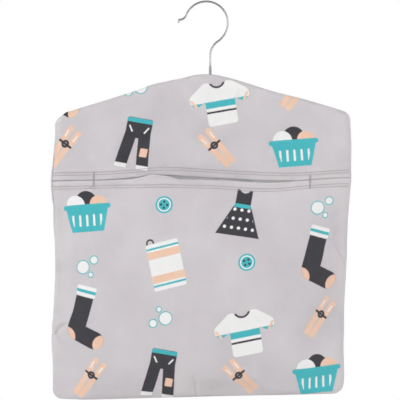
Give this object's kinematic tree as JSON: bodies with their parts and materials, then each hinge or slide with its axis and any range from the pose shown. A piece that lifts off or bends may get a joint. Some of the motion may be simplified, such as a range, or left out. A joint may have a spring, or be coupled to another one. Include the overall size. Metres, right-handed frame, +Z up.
{
  "type": "peg bag",
  "caption": "Cotton clothes-peg bag sewn round a wooden coat hanger, with a hand mouth between two front panels and a swivelling wire hook to hang on a line.",
  "frame": {"origin": "the seat inside the top of the hook's loop, where a line or rail carries the bag", "axes": "+Z up, +X to the right seen from the front, -Y out of the front with the mouth"},
  "size_m": [0.2995, 0.0292, 0.3991],
  "materials": {
    "plated_steel": "bright zinc-plated wire",
    "beech": "sanded, unvarnished",
    "printed_cotton": "plain-weave cotton, printed on one side",
    "overlocked_edge": "unprinted reverse, overlocked",
    "sewing_thread": "spun polyester thread"
  },
  "bodies": {
    "hook": {"hook": "plated_steel"},
    "bag": {"hanger_bar": "beech", "back_panel": "printed_cotton", "front_upper_panel": "printed_cotton", "front_lower_panel": "printed_cotton", "left_shoulder_seam": "overlocked_edge", "right_shoulder_seam": "overlocked_edge", "left_side_seam": "overlocked_edge", "right_side_seam": "overlocked_edge", "bottom_seam": "overlocked_edge", "upper_hem_stitch_inner": "sewing_thread", "upper_hem_stitch_outer": "sewing_thread", "lower_hem_stitch_inner": "sewing_thread", "lower_hem_stitch_outer": "sewing_thread", "left_bar_tack": "sewing_thread", "right_bar_tack": "sewing_thread"}
  },
  "joints": [
    {"name": "hook_swivel", "type": "hinge", "parent": "hook", "child": "bag", "pos_m": [0.004, 0, -0.0752], "axis": [0, 0, 1], "continuous": true}
  ]
}
